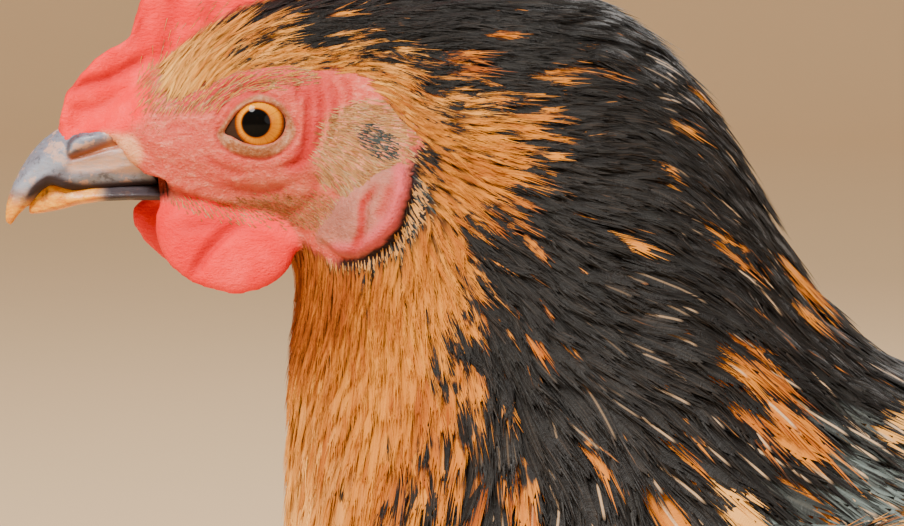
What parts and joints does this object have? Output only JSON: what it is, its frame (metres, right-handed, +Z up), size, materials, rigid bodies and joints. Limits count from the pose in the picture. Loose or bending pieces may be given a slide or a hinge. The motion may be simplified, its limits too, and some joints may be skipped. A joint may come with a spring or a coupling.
{
  "type": "chicken",
  "caption": "Life-size standing hen with single comb, wattles, folded wings, upright tail and bare scaled legs, as a still museum-type model.",
  "frame": {"origin": "on the floor, under the middle of the bird's box", "axes": "the bird faces -X, its left side is -Y, +Z up"},
  "size_m": [0.4074, 0.17, 0.368],
  "materials": {
    "plumage_gold": "soft feather vanes, orange gold with dark flecks",
    "plumage_black": "soft feather vanes, black with a blue-green sheen and gold edges",
    "bare_skin": "grainy bare skin, red to pink",
    "comb_red": "fleshy, fine-grained, soft sheen",
    "earlobe": "smooth, pink with a paler middle",
    "beak_horn": "horn, slate grey to a yellow tip, satin",
    "claw_horn": "horn, satin",
    "eye": "wet amber eye with a black pupil",
    "leg_scale": "overlapping scutes, slate and willow, satin"
  },
  "bodies": {
    "root": {"head": "bare_skin", "neck_upper": "plumage_gold", "neck_lower": "plumage_black", "trunk": "plumage_black", "tail": "plumage_black", "comb": "comb_red", "beak_upper": "beak_horn", "beak_lower": "beak_horn", "eye_left": "eye", "wattle_left": "comb_red", "earlobe_left": "earlobe", "wing_left": "plumage_black", "thigh_left": "plumage_gold", "shank_left": "leg_scale", "foot_left": "leg_scale", "claw_inner_left": "claw_horn", "claw_middle_left": "claw_horn", "claw_outer_left": "claw_horn", "claw_hind_left": "claw_horn", "eye_right": "eye", "wattle_right": "comb_red", "earlobe_right": "earlobe", "wing_right": "plumage_black", "thigh_right": "plumage_gold", "shank_right": "leg_scale", "foot_right": "leg_scale", "claw_inner_right": "claw_horn", "claw_middle_right": "claw_horn", "claw_outer_right": "claw_horn", "claw_hind_right": "claw_horn"}
  },
  "joints": []
}
